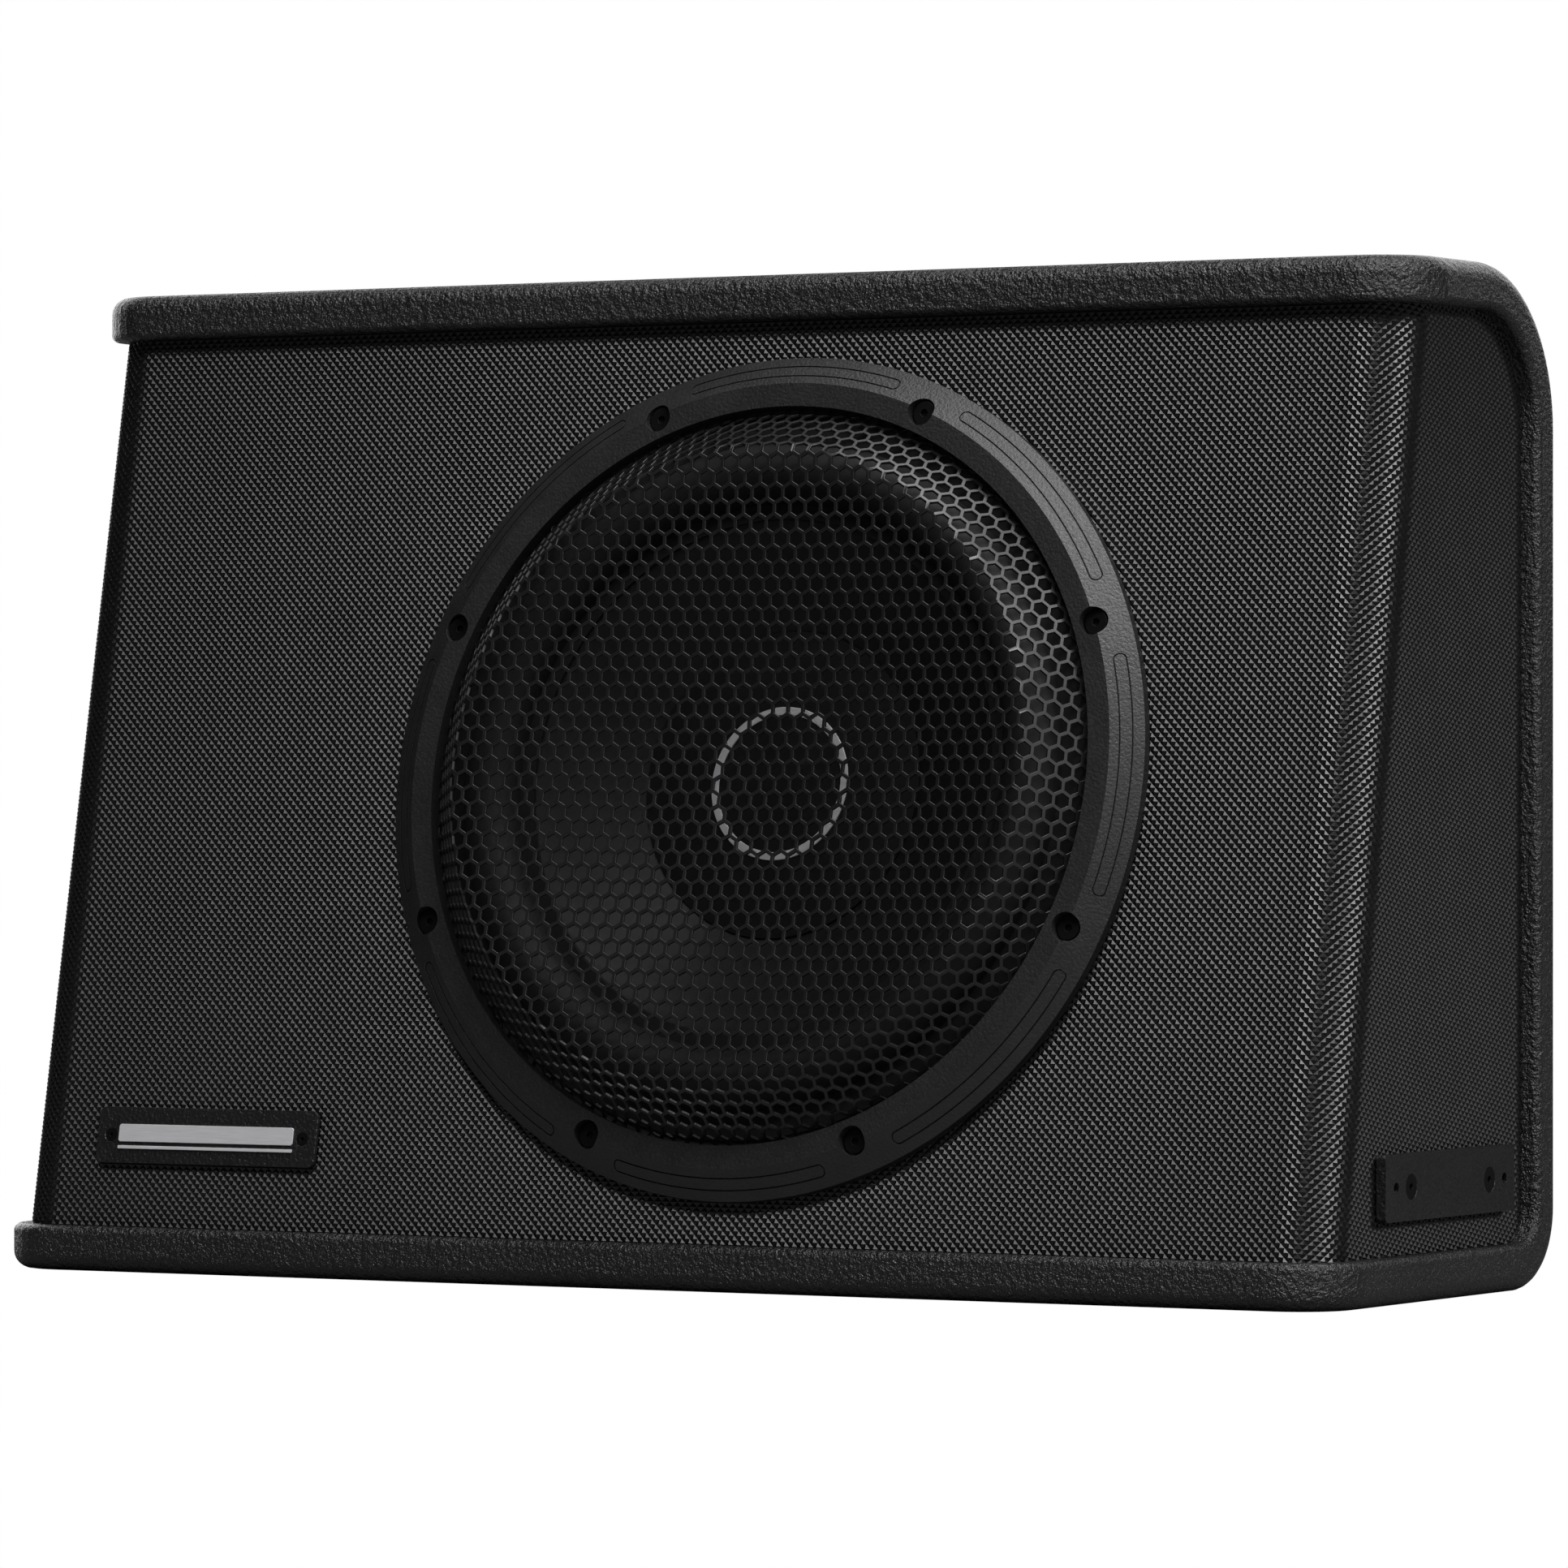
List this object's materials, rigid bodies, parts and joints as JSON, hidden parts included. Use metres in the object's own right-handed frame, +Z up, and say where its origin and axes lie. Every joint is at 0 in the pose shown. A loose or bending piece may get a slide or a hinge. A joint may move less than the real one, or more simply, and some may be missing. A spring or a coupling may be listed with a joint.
{
  "type": "powered car subwoofer",
  "caption": "Wedge-shaped powered car subwoofer: a slanted vinyl-wrapped enclosure, a shallow driver behind a round mesh grille, and an amplifier let into one end.",
  "frame": {"origin": "middle of the underside of the bottom panel", "axes": "+X to the right along the front, +Y towards the flat back, +Z up"},
  "size_m": [0.596, 0.2068, 0.39],
  "materials": {
    "textured_coating": "fine orange-peel texture, satin",
    "embossed_vinyl": "satin black vinyl with a fine diamond emboss",
    "fibreboard": "raw cut board",
    "wadding": "white polyester wadding",
    "black_plate": "fine textured powder coat",
    "silver_strip": "satin",
    "black_screw": "black oxide, satin",
    "foam_gasket": "closed-cell foam",
    "basket_paint": "satin black paint",
    "cone_plastic": "semi-gloss moulded",
    "surround_foam": "smooth, semi-matt",
    "former_film": "amber film",
    "copper_wire": "enamelled copper",
    "spider_cloth": "resin-dipped cotton",
    "zinc_steel": "zinc plated",
    "ferrite": "dull sintered",
    "boot_rubber": "moulded, matt",
    "terminal_plastic": "natural nylon",
    "grille_plastic": "fine spark-eroded grain",
    "mesh_steel": "powder coated",
    "anodised_panel": "black anodised, bead blasted",
    "anodised_fins": "black anodised, extruded",
    "circuit_board": "solder mask",
    "capacitor_sleeve": "shrink sleeve",
    "transistor_epoxy": "moulded epoxy",
    "black_plastic": "moulded nylon",
    "brass_screw": "nickel-washed brass",
    "fuse_plastic": "tinted clear plastic",
    "nickel": "bright nickel plate",
    "socket_plastic": "natural nylon",
    "knob_plastic": "soft-touch",
    "switch_plastic": "moulded",
    "wire_jacket": "PVC insulation"
  },
  "bodies": {
    "enclosure": {"bottom_panel": "textured_coating", "top_panel": "textured_coating", "back_panel": "textured_coating", "front_baffle": "fibreboard", "corner_posts": "fibreboard", "left_end_panel": "fibreboard", "right_end_panel": "fibreboard", "divider_panel": "fibreboard", "vinyl_wrap": "embossed_vinyl", "damping_pad": "wadding", "badge_plate": "black_plate", "badge_strip": "silver_strip", "badge_screws": "black_screw", "right_mount_plate": "black_plate", "left_mount_plate": "black_plate", "mount_plate_screws": "black_screw", "driver_gasket": "foam_gasket", "basket": "basket_paint", "surround": "surround_foam", "spider": "spider_cloth", "front_pole_plate": "zinc_steel", "magnet": "ferrite", "yoke": "zinc_steel", "magnet_boot": "boot_rubber", "driver_terminals": "terminal_plastic", "tinsel_leads": "copper_wire", "grille_ring": "grille_plastic", "grille_mesh": "mesh_steel", "ring_screws": "black_screw", "ring_t_nuts": "zinc_steel", "amp_panel": "anodised_panel", "amp_panel_screws": "black_screw", "heatsink": "anodised_fins", "amp_board": "circuit_board", "control_board": "circuit_board", "capacitors": "capacitor_sleeve", "power_transformer": "copper_wire", "output_inductors": "copper_wire", "power_transistors": "transistor_epoxy", "connector_tray": "black_plastic", "power_terminal_block": "black_plastic", "terminal_screws": "brass_screw", "fuse_holder": "black_plastic", "fuses": "fuse_plastic", "rca_jacks": "nickel", "speaker_input_socket": "socket_plastic", "remote_port": "black_plastic", "pot_bodies": "capacitor_sleeve", "switch_bodies": "zinc_steel", "speaker_wires": "wire_jacket"},
    "cone_assembly": {"cone": "cone_plastic", "dust_cap": "cone_plastic", "dust_cap_ring": "silver_strip", "voice_coil_former": "former_film", "voice_coil_winding": "copper_wire"},
    "gain_knob": {"gain_knob": "knob_plastic"},
    "crossover_knob": {"crossover_knob": "knob_plastic"},
    "bass_boost_knob": {"bass_boost_knob": "knob_plastic"},
    "phase_switch": {"phase_switch": "switch_plastic"},
    "input_switch": {"input_switch": "switch_plastic"}
  },
  "joints": [
    {"name": "cone_travel", "type": "slide", "parent": "enclosure", "child": "cone_assembly", "axis": [0, -0.9815, 0.1913], "range_m": [-0.012, 0.012], "stiffness_N_per_m": 6000, "deforming": ["surround", "spider", "tinsel_leads"]},
    {"name": "gain_turn", "type": "hinge", "parent": "enclosure", "child": "gain_knob", "pos_m": [-0.294, 0.048, 0.194], "axis": [-1, 0, 0], "range_deg": [-150, 150]},
    {"name": "crossover_turn", "type": "hinge", "parent": "enclosure", "child": "crossover_knob", "pos_m": [-0.294, 0.03, 0.194], "axis": [-1, 0, 0], "range_deg": [-150, 150]},
    {"name": "bass_boost_turn", "type": "hinge", "parent": "enclosure", "child": "bass_boost_knob", "pos_m": [-0.294, 0.012, 0.194], "axis": [-1, 0, 0], "range_deg": [-150, 150]},
    {"name": "phase_slide", "type": "slide", "parent": "enclosure", "child": "phase_switch", "axis": [0, 0, 1], "range_m": [0, 0.003]},
    {"name": "input_slide", "type": "slide", "parent": "enclosure", "child": "input_switch", "axis": [0, 0, 1], "range_m": [0, 0.003]}
  ]
}
